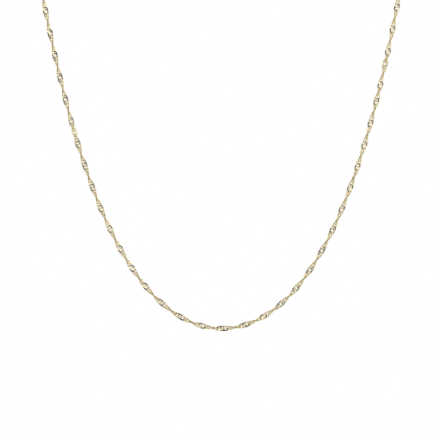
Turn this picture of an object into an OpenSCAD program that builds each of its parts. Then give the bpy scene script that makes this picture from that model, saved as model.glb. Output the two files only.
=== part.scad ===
// Fine twisted link chain necklace, hanging in a free curve from the nape, closed by a round spring clasp.
// Millimetres. +Z is up, the front of the necklace faces -Y, and the wearer's left is +X.
// The origin is at the middle of the nape, in the plane where the chain touches the neck.

/* [Chain] */
// Length of the whole necklace along its middle line, clasp included
necklace_length = 450; // [440:1:500]
// Diameter of the round space that the twisted links fill
chain_d = 1.6; // [1.2:0.1:1.8]
// Number of sides of the tube that stands for the chain
tube_sides = 8; // [8:1:12]
// Steps of the tube along each hanging branch
hang_steps = 20; // [16:1:20]
// Steps of the tube along each bend to the back
bend_steps = 6; // [4:1:6]
// Steps of the tube along each arc round the neck
neck_steps = 12; // [9:1:12]

/* [Hanging front] */
// Radius of the hanging curve at its lowest point, which sets how wide the chain hangs
sag_radius = 21.85; // [18:0.05:24]
// Length of each branch that hangs in the front plane, measured from the lowest point
hang_length = 120; // [110:1:124]

/* [Clasp] */
// Outer diameter of the spring clasp
clasp_d = 6.2; // [5.5:0.1:6.5]
// Diameter of the clasp's round tube
clasp_tube_d = 1.4; // [1.2:0.1:1.4]
// Diameter of the clasp's eye, from middle to middle of its wire
eye_d = 1.5; // [1.4:0.1:1.8]
// Wire diameter of the clasp's eye
eye_wire_d = 0.5; // [0.4:0.1:0.5]
// Diameter of the thumb knob
knob_d = 0.9; // [0.6:0.1:1]
// Height of the thumb knob above the clasp's tube
knob_h = 0.8; // [0.5:0.1:1]
// Angle of the knob round the clasp, from the eye
knob_angle = 118; // [60:1:120]

/* [Rings] */
// Diameter of the joining ring, from middle to middle of its wire
joining_ring_d = 2.5; // [2.4:0.1:3]
// Wire diameter of the joining ring
joining_wire_d = 0.5; // [0.4:0.1:0.5]
// Diameter of the end ring, from middle to middle of its wire
end_ring_d = 3; // [3:0.1:3.6]
// Wire diameter of the end ring
end_wire_d = 0.6; // [0.4:0.1:0.6]
// Gap left between pieces that hang in each other
link_gap = 0.1; // [0.05:0.01:0.15]

/* [Hidden] */

gold = [0.86, 0.75, 0.52];
ring_fn = 96;
wire_fn = 32;

// The nape: pieces in a straight row along X, each pulled against the next
nape_y = chain_d / 2;
clasp_r = (clasp_d - clasp_tube_d) / 2;
solder_depth = eye_wire_d / 2;
eye_x = clasp_r + (clasp_tube_d + eye_d + eye_wire_d) / 2 - solder_depth;
joining_x = eye_x + (eye_d - eye_wire_d) / 2 - link_gap + (joining_ring_d - joining_wire_d) / 2;
end_x = -(clasp_r - clasp_tube_d / 2) + link_gap - (end_ring_d - end_wire_d) / 2;
right_end_x = joining_x + (joining_ring_d + joining_wire_d) / 2 + link_gap;
left_end_x = -end_x + (end_ring_d + end_wire_d) / 2 + link_gap;
nape_straight = 7.5;

// One branch of the route, from the lowest point to the middle of the nape, is a catenary,
// a quarter bend to the back, a quarter arc round the neck and a straight stretch
half_length = necklace_length / 2;
top_run = sqrt(pow(sag_radius, 2) + pow(hang_length, 2));
top_out = sag_radius / top_run;
top_rise = hang_length / top_run;
hang_x = sag_radius * ln((hang_length + top_run) / sag_radius);
hang_z = top_run - sag_radius;
arcs_length = half_length - hang_length - nape_straight;
bend_r = (arcs_length * 2 / PI - hang_x + nape_straight) / (1 + top_out);
neck_r = hang_x + top_out * bend_r - nape_straight;
bend_length = bend_r * PI / 2;
neck_length = neck_r * PI / 2;
bend_end = hang_length + bend_length;
neck_end = bend_end + neck_length;
front_y = nape_y - neck_r - bend_r;
bottom_z = -hang_z - top_rise * bend_r;

function bend_turn(s) = (s - hang_length) / bend_length * 90;
function neck_turn(s) = (s - bend_end) / neck_length * 90;

// Point of the +X branch at the length s from the lowest point
function branch_point(s) =
    s <= hang_length ? let (run = sqrt(pow(sag_radius, 2) + s * s))
        [sag_radius * ln((s + run) / sag_radius), front_y, bottom_z + run - sag_radius] :
    s <= bend_end ? let (turn = bend_turn(s), up = bend_r * sin(turn))
        [hang_x + top_out * up, front_y + bend_r * (1 - cos(turn)), bottom_z + hang_z + top_rise * up] :
    s <= neck_end ? let (turn = neck_turn(s))
        [nape_straight + neck_r * cos(turn), nape_y - neck_r * (1 - sin(turn)), 0] :
    [half_length - s, nape_y, 0];

// Direction of the +X branch there, and the side direction that turns least along the route
function branch_direction(s) =
    s <= hang_length ? [sag_radius, 0, s] / sqrt(pow(sag_radius, 2) + s * s) :
    s <= bend_end ? let (turn = bend_turn(s)) [top_out * cos(turn), sin(turn), top_rise * cos(turn)] :
    s <= neck_end ? let (turn = neck_turn(s)) [-sin(turn), cos(turn), 0] :
    [-1, 0, 0];

function branch_side(s) =
    s <= hang_length ? [0, 1, 0] :
    s <= bend_end ? let (turn = bend_turn(s)) [-top_out * sin(turn), cos(turn), -top_rise * sin(turn)] :
    s <= neck_end ? let (turn = neck_turn(s)) [-top_out * cos(turn), -top_out * sin(turn), -top_rise] :
    [0, -top_out, -top_rise];

// The whole route, where a negative s runs up the -X branch
function route_point(s) = let (p = branch_point(abs(s))) [sign(s) * p.x, p.y, p.z];
function route_direction(s) =
    let (d = branch_direction(abs(s))) s < 0 ? [d.x, -d.y, -d.z] : d;
function route_side(s) = let (d = branch_side(abs(s))) s < 0 ? [-d.x, d.y, d.z] : d;

function tube_ring(s) =
    let (centre = route_point(s), side = route_side(s), up = cross(route_direction(s), side))
    [for (i = [0 : tube_sides - 1]) let (turn = 360 * (i + 0.5) / tube_sides)
        centre + chain_d / 2 * (cos(turn) * side + sin(turn) * up)];

// Lengths along the route at which the tube has a ring of points, from one open end to the other
function even_steps(from, length, steps) = [for (i = [1 : steps]) from + length * i / steps];
branch_stops = concat(even_steps(0, hang_length, hang_steps), even_steps(hang_length, bend_length, bend_steps),
    even_steps(bend_end, neck_length, neck_steps));
stops = concat(left_end_x - half_length, [for (i = [len(branch_stops) - 1 : -1 : 0]) -branch_stops[i]],
    0, branch_stops, half_length - right_end_x);

module chain() {
    tube_rings = len(stops);
    points = [for (s = stops) each tube_ring(s)];
    walls = [for (n = [0 : tube_rings - 2], i = [0 : tube_sides - 1])
        let (a = n * tube_sides + i, b = n * tube_sides + (i + 1) % tube_sides)
        each [[a, a + tube_sides, b], [b, a + tube_sides, b + tube_sides]]];
    first_cap = [for (i = [0 : tube_sides - 1]) i];
    last_cap = [for (i = [tube_sides - 1 : -1 : 0]) (tube_rings - 1) * tube_sides + i];
    color(gold) polyhedron(points, concat(walls, [first_cap, last_cap]), convexity = 4);
}

// A ring of round wire that lies flat in the XY plane
module wire_ring(middle_d, wire_d) {
    rotate_extrude($fn = ring_fn) translate([middle_d / 2, 0]) circle(d = wire_d, $fn = wire_fn);
}

module clasp_knob() {
    root = clasp_r + clasp_tube_d / 4;
    length = clasp_tube_d / 4 + knob_h;
    rotate([0, -knob_angle, 0]) translate([root, 0, 0]) rotate([0, 90, 0])
        cylinder(h = length, d = knob_d, $fn = wire_fn);
}

module clasp() {
    color(gold) translate([0, nape_y, 0]) union() {
        rotate([90, 0, 0]) wire_ring(2 * clasp_r, clasp_tube_d);
        translate([eye_x, 0, 0]) rotate([90, 0, 0]) wire_ring(eye_d, eye_wire_d);
        clasp_knob();
    }
}

module joining_ring() {
    color(gold) translate([joining_x, nape_y, 0]) wire_ring(joining_ring_d, joining_wire_d);
}

module end_ring() {
    color(gold) translate([end_x, nape_y, 0]) wire_ring(end_ring_d, end_wire_d);
}

chain();
clasp();
joining_ring();
end_ring();
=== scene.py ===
# A fine twisted link chain necklace in pale gold, hanging in a free curve and closed at the nape.
# Metres throughout. The front hangs in a plane that faces -Y, and the origin is at the nape.
import math

import bmesh
import bpy
from mathutils import Matrix, Vector


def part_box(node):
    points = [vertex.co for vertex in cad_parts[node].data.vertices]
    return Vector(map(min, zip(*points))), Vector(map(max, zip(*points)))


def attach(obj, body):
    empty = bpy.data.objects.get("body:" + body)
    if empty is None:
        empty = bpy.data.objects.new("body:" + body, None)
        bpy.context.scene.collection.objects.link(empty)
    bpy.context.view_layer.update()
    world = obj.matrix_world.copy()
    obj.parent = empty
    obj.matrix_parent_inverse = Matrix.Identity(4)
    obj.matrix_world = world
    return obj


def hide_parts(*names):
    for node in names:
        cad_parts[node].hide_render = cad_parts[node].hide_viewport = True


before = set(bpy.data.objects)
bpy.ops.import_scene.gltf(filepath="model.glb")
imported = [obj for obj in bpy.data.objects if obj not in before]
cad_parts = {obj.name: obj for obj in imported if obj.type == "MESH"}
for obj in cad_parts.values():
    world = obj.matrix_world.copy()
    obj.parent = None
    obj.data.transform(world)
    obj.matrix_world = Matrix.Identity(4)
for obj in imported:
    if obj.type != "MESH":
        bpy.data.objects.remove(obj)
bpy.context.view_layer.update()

# Camera. It looks straight and level at the front through a long lens. The chain's lowest point lies
# where the photograph has it, and the radius of the hanging curve there sets the length of a pixel.
# The CAD tube has eight sides, and half a side's angle leads from its box to the chain's middle line.
chain_width = 0.0016
half_tube_side_deg = 22.5
sag_radius = 0.02185
photo_size_px = 440
photo_sag_radius_px = 74.9
photo_lowest_px = (221.65, 328.5)
photo_roll_deg = 0.18
camera_distance = 1.2
camera_reach = 10
sensor_width = 36

pixel = sag_radius / photo_sag_radius_px
chain_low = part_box("chain")[0]
front_y = chain_low.y + chain_width / 2 * math.cos(math.radians(half_tube_side_deg))
lowest_z = chain_low.z + chain_width / 2 * math.cos(math.radians(half_tube_side_deg))

camera = bpy.data.objects.new("camera", bpy.data.cameras.new("camera"))
bpy.context.scene.collection.objects.link(camera)
bpy.context.scene.camera = camera
camera.data.sensor_width = sensor_width
camera.data.lens = sensor_width * camera_distance / (photo_size_px * pixel)
camera.data.clip_end = camera_reach
aim_x = (photo_size_px / 2 - photo_lowest_px[0]) * pixel
aim_z = lowest_z + (photo_lowest_px[1] - photo_size_px / 2) * pixel
camera.location = (aim_x, front_y - camera_distance, aim_z)
camera.rotation_euler = (math.radians(90), math.radians(photo_roll_deg), 0)

# Stage: a plain pale floor well under the necklace, which hangs free, and a white surround. The metal
# mirrors a pale room with a tall dark card in front and one behind, a tall soft box at each corner and a
# square one overhead, so the flat faces of the links darken where they look straight at the camera.
floor_gap = 0.07
floor_radius = 0.6
floor_sides = 96
floor_tone = 0.86
floor_roughness = 0.8
room_tone = 0.86
card_tone = 0
card_half_angle_deg = 46
card_edge_deg = 4
card_width_to_height = 0.75
tall_box = (0.55, 1.2)
square_box = (1.2, 1.2)

mesh = bpy.data.meshes.new("floor")
bm = bmesh.new()
bmesh.ops.create_circle(bm, cap_ends=True, segments=floor_sides, radius=floor_radius)
bmesh.ops.translate(bm, vec=(0, front_y / 2, chain_low.z - floor_gap), verts=bm.verts)
bm.to_mesh(mesh)
bm.free()
floor = bpy.data.objects.new("floor", mesh)
bpy.context.scene.collection.objects.link(floor)
floor_paint = bpy.data.materials.new("floor_paint")
floor_paint.use_nodes = True
floor_shader = floor_paint.node_tree.nodes["Principled BSDF"]
floor_shader.inputs["Base Color"].default_value = (floor_tone, floor_tone, floor_tone, 1)
floor_shader.inputs["Roughness"].default_value = floor_roughness
mesh.materials.append(floor_paint)

world = bpy.data.worlds.new("studio")
bpy.context.scene.world = world
world.use_nodes = True
tree = world.node_tree
backdrop = tree.nodes["Background"]
backdrop.inputs["Color"].default_value = (1, 1, 1, 1)
room = tree.nodes.new("ShaderNodeBackground")
direction = tree.nodes.new("ShaderNodeTexCoord")
heightened_card = tree.nodes.new("ShaderNodeVectorMath")
heightened_card.operation = "MULTIPLY"
heightened_card.inputs[1].default_value = (1, 1, card_width_to_height)
unit = tree.nodes.new("ShaderNodeVectorMath")
unit.operation = "NORMALIZE"
parts = tree.nodes.new("ShaderNodeSeparateXYZ")
ahead_or_behind = tree.nodes.new("ShaderNodeMath")
ahead_or_behind.operation = "ABSOLUTE"
card = tree.nodes.new("ShaderNodeMapRange")
card.interpolation_type = "SMOOTHSTEP"
card.inputs["From Min"].default_value = math.cos(math.radians(card_half_angle_deg + card_edge_deg))
card.inputs["From Max"].default_value = math.cos(math.radians(card_half_angle_deg - card_edge_deg))
card.inputs["To Min"].default_value = room_tone
card.inputs["To Max"].default_value = card_tone
path = tree.nodes.new("ShaderNodeLightPath")
choose = tree.nodes.new("ShaderNodeMixShader")
tree.links.new(direction.outputs["Generated"], heightened_card.inputs[0])
tree.links.new(heightened_card.outputs["Vector"], unit.inputs[0])
tree.links.new(unit.outputs["Vector"], parts.inputs["Vector"])
tree.links.new(parts.outputs["Y"], ahead_or_behind.inputs[0])
tree.links.new(ahead_or_behind.outputs["Value"], card.inputs["Value"])
tree.links.new(card.outputs["Result"], room.inputs["Color"])
tree.links.new(path.outputs["Is Camera Ray"], choose.inputs["Fac"])
tree.links.new(room.outputs["Background"], choose.inputs[1])
tree.links.new(backdrop.outputs["Background"], choose.inputs[2])
tree.links.new(choose.outputs["Shader"], tree.nodes["World Output"].inputs["Surface"])
bpy.context.scene.view_settings.view_transform = "Standard"

# Each soft box: its name, its place from the middle of the necklace, its size and how bright its face is
soft_boxes = (
    ("box_above", (0, -0.001, 0.9), square_box, 0.35),
    ("box_front_left", (-0.7, -0.7, 0), tall_box, 0.35),
    ("box_front_right", (0.7, -0.7, 0), tall_box, 1.0),
    ("box_back_left", (-0.7, 0.7, 0), tall_box, 0.7),
    ("box_back_right", (0.7, 0.7, 0), tall_box, 0.7),
)
necklace_middle = Vector((0, front_y / 2, aim_z))
for name, place, size, brightness in soft_boxes:
    data = bpy.data.lights.new(name, "AREA")
    data.shape = "RECTANGLE"
    data.size = size[0]
    data.size_y = size[1]
    data.energy = brightness * math.pi * size[0] * size[1]
    lamp = bpy.data.objects.new(name, data)
    lamp.visible_camera = False
    bpy.context.scene.collection.objects.link(lamp)
    lamp.location = necklace_middle + Vector(place)
    lamp.rotation_euler = (-Vector(place)).to_track_quat("-Z", "Y").to_euler()

# Route of the chain: the middle line of the whole necklace, the same as the tube in the CAD model.
# Each branch is a hanging curve, a quarter bend to the back, a quarter arc round the neck and a
# straight stretch into the clasp's rings.
necklace_length = 0.450
hang_length = 0.120
nape_straight = 0.0075
nape_y = chain_width / 2

half_length = necklace_length / 2
top_run = math.hypot(sag_radius, hang_length)
top_out = sag_radius / top_run
top_rise = hang_length / top_run
hang_x = sag_radius * math.asinh(hang_length / sag_radius)
hang_z = top_run - sag_radius
arcs_length = half_length - hang_length - nape_straight
bend_r = (arcs_length * 2 / math.pi - hang_x + nape_straight) / (1 + top_out)
neck_r = hang_x + top_out * bend_r - nape_straight
bend_end = hang_length + bend_r * math.pi / 2
neck_end = bend_end + neck_r * math.pi / 2


def branch(s):
    """Point, direction and side direction of the +X branch, at the length s from the lowest point."""
    if s <= hang_length:
        run = math.hypot(sag_radius, s)
        point = (sag_radius * math.asinh(s / sag_radius), front_y, lowest_z + run - sag_radius)
        return point, (sag_radius / run, 0, s / run), (0, 1, 0)
    if s <= bend_end:
        turn = (s - hang_length) / bend_r
        cos, sin = math.cos(turn), math.sin(turn)
        point = (hang_x + top_out * bend_r * sin, front_y + bend_r * (1 - cos),
                 lowest_z + hang_z + top_rise * bend_r * sin)
        return point, (top_out * cos, sin, top_rise * cos), (-top_out * sin, cos, -top_rise * sin)
    if s <= neck_end:
        turn = (s - bend_end) / neck_r
        cos, sin = math.cos(turn), math.sin(turn)
        point = (nape_straight + neck_r * cos, nape_y - neck_r * (1 - sin), 0)
        return point, (-sin, cos, 0), (-top_out * cos, -top_out * sin, -top_rise)
    return (half_length - s, nape_y, 0), (-1, 0, 0), (0, -top_out, -top_rise)


def place_on_route(s, roll):
    """Matrix with X along the route at s, negative on the -X branch, and with Y rolled by roll."""
    point, ahead, side = (Vector(v) for v in branch(abs(s)))
    if s < 0:
        point.x = -point.x
        ahead.y, ahead.z = -ahead.y, -ahead.z
        side.x = -side.x
    up = ahead.cross(side)
    across = math.cos(roll) * side + math.sin(roll) * up
    normal = ahead.cross(across)
    turned = Matrix((ahead, across, normal)).transposed().to_4x4()
    return Matrix.Translation(point) @ turned


# Chain: about 540 oval links of flat gold wire, a little wider along their sides. Each link goes through
# the next two, so the odd and the even links are two chains that run inside each other, and each link is
# rolled a little further than the last, which twists the chain like a ribbon. The joints are soldered.
wire_width = 0.00028
side_wire_width = 0.00037
wire_thickness = 0.00016
wire_corner = 0.00003
end_steps = 6
pitch_wanted = 0.00082
play = 0.00012
ring_holes_reach = {"left": 0.0040, "right": 0.00625}
seat_gap = 0.00003
merge_distance = wire_width / 20
sharp_edge_deg = 20

last_s = half_length - (ring_holes_reach["right"] - seat_gap + pitch_wanted + play / 2)
first_s = -(half_length - (ring_holes_reach["left"] - seat_gap + pitch_wanted + play / 2))
link_count = 2 * round((last_s - first_s) / pitch_wanted / 2) + 1
pitch = (last_s - first_s) / (link_count - 1)
link_length = 2 * pitch + 2 * wire_width + play
half_straight = (link_length - chain_width) / 2
end_r = (chain_width - wire_width) / 2

# One link, which lies along X with its flat faces up and down: the wire's section, spun round each end
# and pulled along each side, then widened inwards along the sides. The section is a hexagon that is
# stretched until two of its sides are the wire's flat faces and its tips are the wire's rounded edges.
bm = bmesh.new()
bmesh.ops.create_circle(bm, segments=6, radius=1)
tips = [v for v in bm.verts if abs(v.co.x) < 0.5]
face_corners = [v for v in bm.verts if abs(v.co.x) > 0.5]
bmesh.ops.scale(bm, vec=(1, wire_width / 2, 1), verts=tips)
face_stretch = (wire_thickness / math.sqrt(3), wire_width - 2 * wire_corner, 1)
bmesh.ops.scale(bm, vec=face_stretch, verts=face_corners)
bmesh.ops.rotate(bm, cent=(0, 0, 0), matrix=Matrix.Rotation(math.radians(90), 3, "Y"), verts=bm.verts)
bmesh.ops.translate(bm, vec=(half_straight, -end_r, 0), verts=bm.verts)
section = bm.verts[:] + bm.edges[:]
for side in (1, -1):
    section = bmesh.ops.spin(bm, geom=section, cent=(side * half_straight, 0, 0), axis=(0, 0, 1),
                             angle=math.pi, steps=end_steps)["geom_last"]
    edges = [e for e in section if isinstance(e, bmesh.types.BMEdge)]
    pulled = bmesh.ops.extrude_edge_only(bm, edges=edges)["geom"]
    verts = [v for v in pulled if isinstance(v, bmesh.types.BMVert)]
    bmesh.ops.translate(bm, vec=(-side * 2 * half_straight, 0, 0), verts=verts)
    section = verts + [e for e in pulled if isinstance(e, bmesh.types.BMEdge)]
bmesh.ops.remove_doubles(bm, verts=bm.verts, dist=merge_distance)
for side in (1, -1):
    along_side = [v for v in bm.verts
                  if abs(v.co.x) < half_straight + merge_distance and v.co.y * side > 0]
    outer_edge = Matrix.Translation((0, -side * chain_width / 2, 0))
    bmesh.ops.scale(bm, vec=(1, side_wire_width / wire_width, 1), space=outer_edge, verts=along_side)
bmesh.ops.recalc_face_normals(bm, faces=bm.faces)
for edge in bm.edges:
    a, b = edge.verts
    on_flat = abs(a.co.z) > wire_thickness * 0.49 and abs(a.co.z - b.co.z) < wire_thickness / 100
    if on_flat and edge.calc_face_angle() > math.radians(sharp_edge_deg):
        edge.smooth = False
link_mesh = bpy.data.meshes.new("link")
bm.to_mesh(link_mesh)
bm.free()

# The twist: were it even all along, a link at first_face_s would show its flat face to the front, and so
# would every link a half twist on. Some stretches are twisted more or less than the rest.
# Each uneven stretch: its middle, its length and the half twists that it adds.
half_twist = 0.006646
first_face_s = 0.00944
uneven_stretches = (
    (-0.1330, 0.032, 0.35),
    (-0.0765, 0.007, 1.00),
    (-0.0180, 0.020, -0.07),
    (-0.0050, 0.008, 0.07),
    (0.0150, 0.020, 0.23),
    (0.0550, 0.050, -0.06),
    (0.0660, 0.010, 0.05),
    (0.0815, 0.006, -0.05),
    (0.0880, 0.007, 0.34),
    (0.0980, 0.005, 0.48),
    (0.1330, 0.032, 0.35),
)
level_roll = -math.atan2(top_out, top_rise)
seating_length = 0.06

# The play lets the links lie a little off even spacing, and the odd links off the middle between the even
# ones. Each slide: where it starts, its length, how far it moves all the links and the odd ones besides.
first_odd_slide = 0.00012
slides = (
    (-0.190, 0.050, -0.00006, 0),
    (-0.095, 0.045, 0.00020, 0),
    (-0.077, 0.006, 0.00008, -0.00016),
    (-0.035, 0.030, -0.00008, 0.00016),
    (-0.030, 0.040, -0.00024, 0),
    (0.020, 0.035, 0.00014, 0),
    (0.070, 0.040, 0.00035, 0),
    (0.140, 0.050, -0.00039, -0.00015),
)


def ease(x):
    """Smooth step from 0 to 1."""
    x = min(max(x, 0), 1)
    return x * x * (3 - 2 * x)


def free_roll(s):
    """Roll of a link at s about the route, as the twist alone gives it."""
    half_turns = (s - first_face_s) / half_twist
    for middle, length, extra in uneven_stretches:
        half_turns += extra * ease((s - middle) / length + 0.5)
    return math.pi * half_turns + math.pi / 2


def roll_at(s):
    """Roll of a link at s. Near each end it eases to what seats the last link upright in its ring."""
    roll = free_roll(s)
    for end_s in (first_s, last_s):
        miss = math.remainder(level_roll - free_roll(end_s), math.pi)
        roll += miss * ease(1 - abs(end_s - s) / seating_length)
    return roll


def slid(s, column):
    """How far the slides up to s move the links there, by the third or the fourth value of each slide."""
    return sum(slide[column] * ease((s - slide[0]) / slide[1]) for slide in slides)


bm = bmesh.new()
for n in range(link_count):
    s = first_s + n * pitch
    s += slid(s, 2)
    roll = roll_at(s)
    if n % 2 == 1:
        s += first_odd_slide + slid(s, 3)
    before = len(bm.verts)
    bm.from_mesh(link_mesh)
    bm.verts.ensure_lookup_table()
    bmesh.ops.transform(bm, matrix=place_on_route(s, roll), verts=bm.verts[before:])
for face in bm.faces:
    face.smooth = True
mesh = bpy.data.meshes.new("chain_links")
bm.to_mesh(mesh)
bm.free()
chain_links = bpy.data.objects.new("chain_links", mesh)
bpy.context.scene.collection.objects.link(chain_links)
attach(chain_links, "root")
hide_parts("chain")

# Worn gold: the finish of every piece here. Skin dulls it in soft patches, where it is a little redder
# and less smooth, and the polishing wheel and wear leave hair lines in it.
patch_detail = 3
patch_raggedness = 0.6
dull_from = 0.40
dull_to = 0.68
line_stretch = (1, 0.15, 1)
line_detail = 2
line_dulling = 0.35
bump_strength = 0.5

worn_gold = bpy.data.node_groups.new("worn_gold", "ShaderNodeTree")
for name, kind in (("Bright Gold", "NodeSocketColor"), ("Dull Gold", "NodeSocketColor"),
                   ("Patches per Metre", "NodeSocketFloat"), ("Lines per Metre", "NodeSocketFloat"),
                   ("Bright Roughness", "NodeSocketFloat"), ("Dull Roughness", "NodeSocketFloat")):
    worn_gold.interface.new_socket(name, in_out="INPUT", socket_type=kind)
for name, kind in (("Colour", "NodeSocketColor"), ("Roughness", "NodeSocketFloat"),
                   ("Hair Lines", "NodeSocketFloat")):
    worn_gold.interface.new_socket(name, in_out="OUTPUT", socket_type=kind)
given = worn_gold.nodes.new("NodeGroupInput")
result = worn_gold.nodes.new("NodeGroupOutput")
place = worn_gold.nodes.new("ShaderNodeTexCoord")
patches = worn_gold.nodes.new("ShaderNodeTexNoise")
patches.inputs["Detail"].default_value = patch_detail
patches.inputs["Roughness"].default_value = patch_raggedness
dullness = worn_gold.nodes.new("ShaderNodeMapRange")
dullness.inputs["From Min"].default_value = dull_from
dullness.inputs["From Max"].default_value = dull_to
brushed = worn_gold.nodes.new("ShaderNodeMapping")
brushed.inputs["Scale"].default_value = line_stretch
lines = worn_gold.nodes.new("ShaderNodeTexNoise")
lines.inputs["Detail"].default_value = line_detail
colour = worn_gold.nodes.new("ShaderNodeMix")
colour.data_type = "RGBA"
smoothness = worn_gold.nodes.new("ShaderNodeMapRange")
scuffs = worn_gold.nodes.new("ShaderNodeMath")
scuffs.operation = "MULTIPLY_ADD"
scuffs.inputs[1].default_value = line_dulling
worn_gold.links.new(place.outputs["Object"], patches.inputs["Vector"])
worn_gold.links.new(given.outputs["Patches per Metre"], patches.inputs["Scale"])
worn_gold.links.new(patches.outputs["Fac"], dullness.inputs["Value"])
worn_gold.links.new(place.outputs["Object"], brushed.inputs["Vector"])
worn_gold.links.new(brushed.outputs["Vector"], lines.inputs["Vector"])
worn_gold.links.new(given.outputs["Lines per Metre"], lines.inputs["Scale"])
worn_gold.links.new(dullness.outputs["Result"], colour.inputs["Factor"])
worn_gold.links.new(given.outputs["Bright Gold"], colour.inputs["A"])
worn_gold.links.new(given.outputs["Dull Gold"], colour.inputs["B"])
worn_gold.links.new(lines.outputs["Fac"], scuffs.inputs[0])
worn_gold.links.new(dullness.outputs["Result"], scuffs.inputs[2])
worn_gold.links.new(scuffs.outputs["Value"], smoothness.inputs["Value"])
worn_gold.links.new(given.outputs["Bright Roughness"], smoothness.inputs["To Min"])
worn_gold.links.new(given.outputs["Dull Roughness"], smoothness.inputs["To Max"])
worn_gold.links.new(colour.outputs["Result"], result.inputs["Colour"])
worn_gold.links.new(smoothness.outputs["Result"], result.inputs["Roughness"])
worn_gold.links.new(lines.outputs["Fac"], result.inputs["Hair Lines"])


def gold_finish(name, values, line_depth):
    """A gold material with the wear of the group above and hair lines line_depth metres deep."""
    material = bpy.data.materials.new(name)
    material.use_nodes = True
    tree = material.node_tree
    shader = tree.nodes["Principled BSDF"]
    shader.inputs["Metallic"].default_value = 1
    wear = tree.nodes.new("ShaderNodeGroup")
    wear.node_tree = worn_gold
    for socket, value in values.items():
        wear.inputs[socket].default_value = value
    bump = tree.nodes.new("ShaderNodeBump")
    bump.inputs["Strength"].default_value = bump_strength
    bump.inputs["Distance"].default_value = line_depth
    tree.links.new(wear.outputs["Colour"], shader.inputs["Base Color"])
    tree.links.new(wear.outputs["Roughness"], shader.inputs["Roughness"])
    tree.links.new(wear.outputs["Hair Lines"], bump.inputs["Height"])
    tree.links.new(bump.outputs["Normal"], shader.inputs["Normal"])
    return material


mesh.materials.append(gold_finish("link_gold", {
    "Bright Gold": (0.95, 0.82, 0.515, 1),
    "Dull Gold": (0.89, 0.755, 0.485, 1),
    "Patches per Metre": 700,
    "Lines per Metre": 30000,
    "Bright Roughness": 0.18,
    "Dull Roughness": 0.30,
}, line_depth=0.0000015))

# Clasp: a round spring clasp of drawn gold tube, bent to a ring with a gap that a bolt closes. A spring
# in the tube pushes the bolt, a thumb knob on it slides in a slot of the tube and draws it back, and a
# wire eye is soldered to the outside.
clasp_r = 0.0024
tube_r = 0.0007
gap_from_deg = 130
gap_to_deg = 165
slot_from_deg = 72
slot_to_deg = 114
slot_depth = 0.00025
bolt_r = 0.0005
knob_deg = 118
knob_r = 0.00045
knob_top = 0.0039
knob_length = 0.00060
stem_r = 0.00016
eye_x = 0.00385
eye_r = 0.00075
eye_wire_r = 0.00025
solder_size = (0.00022, 0.00033, 0.00058)
slot_rim = 0.00003
slot_wall = 0.00001
mouth_round = 0.00009
clasp_sections = 72
outside_share = 0.95
clasp_crease_deg = 40


def turned_to(degrees):
    """Rotation about the clasp's middle that takes +X towards +Z by these degrees."""
    return Matrix.Rotation(math.radians(-degrees), 3, "Y")


def angle_of(point):
    """Degrees of a point round the clasp's middle, from +X towards +Z."""
    return math.degrees(math.atan2(point.z, point.x)) % 360


bm = bmesh.new()
bmesh.ops.create_circle(bm, segments=16, radius=eye_wire_r)
bmesh.ops.translate(bm, vec=(eye_r, 0, 0), verts=bm.verts)
bmesh.ops.spin(bm, geom=bm.verts[:] + bm.edges[:], cent=(0, 0, 0), axis=(0, -1, 0), angle=2 * math.pi,
               steps=48, use_merge=True)
bmesh.ops.translate(bm, vec=(eye_x, 0, 0), verts=bm.verts)
section = bmesh.ops.create_circle(bm, segments=24, radius=tube_r)["verts"]
section_edges = list(dict.fromkeys(e for v in section for e in v.link_edges))
bmesh.ops.translate(bm, vec=(clasp_r, 0, 0), verts=section)
bmesh.ops.rotate(bm, cent=(0, 0, 0), matrix=turned_to(gap_to_deg), verts=section)
bmesh.ops.spin(bm, geom=section + section_edges, cent=(0, 0, 0), axis=(0, -1, 0),
               angle=math.radians(360 - gap_to_deg + gap_from_deg), steps=clasp_sections)
mouths = bmesh.ops.holes_fill(bm, edges=[e for e in bm.edges if e.is_boundary], sides=0)["faces"]
bmesh.ops.recalc_face_normals(bm, faces=bm.faces)
rims = [e for face in mouths for e in face.edges]
slot = []
for face in bm.faces:
    middle = face.calc_center_median()
    on_outside = math.hypot(middle.x, middle.z) > clasp_r + tube_r * outside_share
    if on_outside and slot_from_deg < angle_of(middle) < slot_to_deg:
        slot.append(face)
bmesh.ops.inset_region(bm, faces=slot, thickness=slot_rim, use_boundary=True, use_even_offset=True)
bmesh.ops.inset_region(bm, faces=slot, thickness=slot_wall, depth=-slot_depth, use_boundary=True,
                       use_even_offset=True)
bmesh.ops.bevel(bm, geom=rims, offset=mouth_round, offset_type="OFFSET", segments=3, profile=0.5,
                affect="EDGES", material=-1)
solder = bmesh.ops.create_uvsphere(bm, u_segments=16, v_segments=10, radius=1)["verts"]
bmesh.ops.scale(bm, vec=solder_size, verts=solder)
bmesh.ops.translate(bm, vec=(clasp_r + tube_r, 0, 0), verts=solder)
bmesh.ops.recalc_face_normals(bm, faces=bm.faces)
bmesh.ops.translate(bm, vec=(0, nape_y, 0), verts=bm.verts)
for face in bm.faces:
    face.smooth = True
mesh = bpy.data.meshes.new("clasp_tube")
bm.to_mesh(mesh)
bm.free()
mesh.set_sharp_from_angle(angle=math.radians(clasp_crease_deg))
clasp_tube = bpy.data.objects.new("clasp_tube", mesh)
bpy.context.scene.collection.objects.link(clasp_tube)
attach(clasp_tube, "root")
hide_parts("clasp")
polished_gold = gold_finish("polished_gold", {
    "Bright Gold": (0.94, 0.80, 0.49, 1),
    "Dull Gold": (0.86, 0.72, 0.45, 1),
    "Patches per Metre": 350,
    "Lines per Metre": 20000,
    "Bright Roughness": 0.12,
    "Dull Roughness": 0.26,
}, line_depth=0.000002)
mesh.materials.append(polished_gold)

# Bolt of the clasp: a solid gold wire that slides in the tube and shuts its gap, in one piece with the
# stem that stands in the slot and the round thumb knob.
bolt_past_knob_deg = 8
bolt_sections = 20
knob_round = 0.00024
knob_rim_deg = 80
bolt_crease_deg = 50

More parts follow.
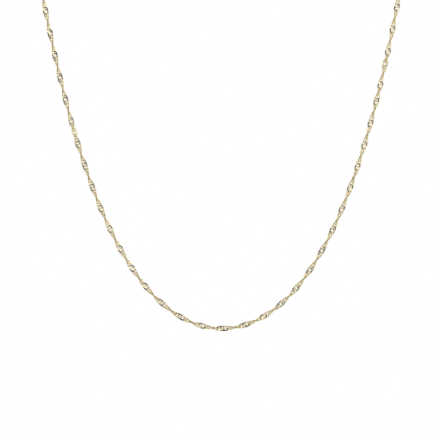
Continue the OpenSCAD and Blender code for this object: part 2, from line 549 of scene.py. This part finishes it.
bm = bmesh.new()
bmesh.ops.create_circle(bm, segments=20, radius=bolt_r)
bmesh.ops.translate(bm, vec=(clasp_r, 0, 0), verts=bm.verts)
bmesh.ops.rotate(bm, cent=(0, 0, 0), matrix=turned_to(knob_deg - bolt_past_knob_deg), verts=bm.verts)
bmesh.ops.spin(bm, geom=bm.verts[:] + bm.edges[:], cent=(0, 0, 0), axis=(0, -1, 0),
               angle=math.radians(gap_to_deg - knob_deg + 2 * bolt_past_knob_deg), steps=bolt_sections)
bmesh.ops.holes_fill(bm, edges=[e for e in bm.edges if e.is_boundary], sides=0)
along_x = Matrix.Rotation(math.radians(90), 4, "Y")
to_knob = turned_to(knob_deg).to_4x4()
stem_length = knob_top - knob_length / 2 - clasp_r
stem_place = Matrix.Translation((clasp_r + stem_length / 2, 0, 0))
bmesh.ops.create_cone(bm, cap_ends=True, segments=16, radius1=stem_r, radius2=stem_r, depth=stem_length,
                      matrix=to_knob @ stem_place @ along_x)
knob_place = Matrix.Translation((knob_top - knob_length / 2, 0, 0))
knob = bmesh.ops.create_cone(bm, cap_ends=True, segments=24, radius1=knob_r, radius2=knob_r,
                             depth=knob_length, matrix=to_knob @ knob_place @ along_x)["verts"]
knob_edges = dict.fromkeys(e for v in knob for e in v.link_edges)
knob_rims = [e for e in knob_edges if e.calc_face_angle() > math.radians(knob_rim_deg)]
bmesh.ops.bevel(bm, geom=knob_rims, offset=knob_round, offset_type="OFFSET", segments=5, profile=0.5,
                affect="EDGES", material=-1)
bmesh.ops.recalc_face_normals(bm, faces=bm.faces)
bmesh.ops.translate(bm, vec=(0, nape_y, 0), verts=bm.verts)
for face in bm.faces:
    face.smooth = True
mesh = bpy.data.meshes.new("clasp_bolt")
bm.to_mesh(mesh)
bm.free()
mesh.set_sharp_from_angle(angle=math.radians(bolt_crease_deg))
clasp_bolt = bpy.data.objects.new("clasp_bolt", mesh)
bpy.context.scene.collection.objects.link(clasp_bolt)
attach(clasp_bolt, "root")
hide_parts("clasp")
mesh.materials.append(polished_gold)

# Joining ring and end ring: round gold wire bent to a ring and soldered shut, which leaves a fine sunk
# line at the joint. The joining ring ties the chain to the clasp's eye, and the clasp closes on the end
# ring. Each ring: its name, the radius of its middle line and of its wire, its place, where its joint is.
rings = (
    ("joining_ring", 0.00125, 0.00025, 0.00525, 65),
    ("end_ring", 0.0015, 0.0003, -0.0028, 240),
)
joint_depth = 0.06
ring_sections = 72

for name, ring_r, ring_wire_r, ring_x, joint_deg in rings:
    bm = bmesh.new()
    bmesh.ops.create_circle(bm, segments=16, radius=ring_wire_r)
    bmesh.ops.rotate(bm, cent=(0, 0, 0), matrix=Matrix.Rotation(math.radians(90), 3, "X"), verts=bm.verts)
    bmesh.ops.translate(bm, vec=(ring_r, 0, 0), verts=bm.verts)
    bmesh.ops.spin(bm, geom=bm.verts[:] + bm.edges[:], cent=(0, 0, 0), axis=(0, 0, 1), angle=2 * math.pi,
                   steps=ring_sections, use_merge=True)
    joint = [v for v in bm.verts if v.co.x > 0 and abs(v.co.y) < ring_wire_r / 100]
    wire_middle = Matrix.Translation((-ring_r, 0, 0))
    bmesh.ops.scale(bm, vec=(1 - joint_depth,) * 3, space=wire_middle, verts=joint)
    joint_turn = Matrix.Rotation(math.radians(joint_deg), 3, "Z")
    bmesh.ops.rotate(bm, cent=(0, 0, 0), matrix=joint_turn, verts=bm.verts)
    bmesh.ops.translate(bm, vec=(ring_x, nape_y, 0), verts=bm.verts)
    bmesh.ops.recalc_face_normals(bm, faces=bm.faces)
    for face in bm.faces:
        face.smooth = True
    mesh = bpy.data.meshes.new(f"soldered_{name}")
    bm.to_mesh(mesh)
    bm.free()
    ring = bpy.data.objects.new(f"soldered_{name}", mesh)
    bpy.context.scene.collection.objects.link(ring)
    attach(ring, "root")
    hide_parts(name)
    mesh.materials.append(polished_gold)
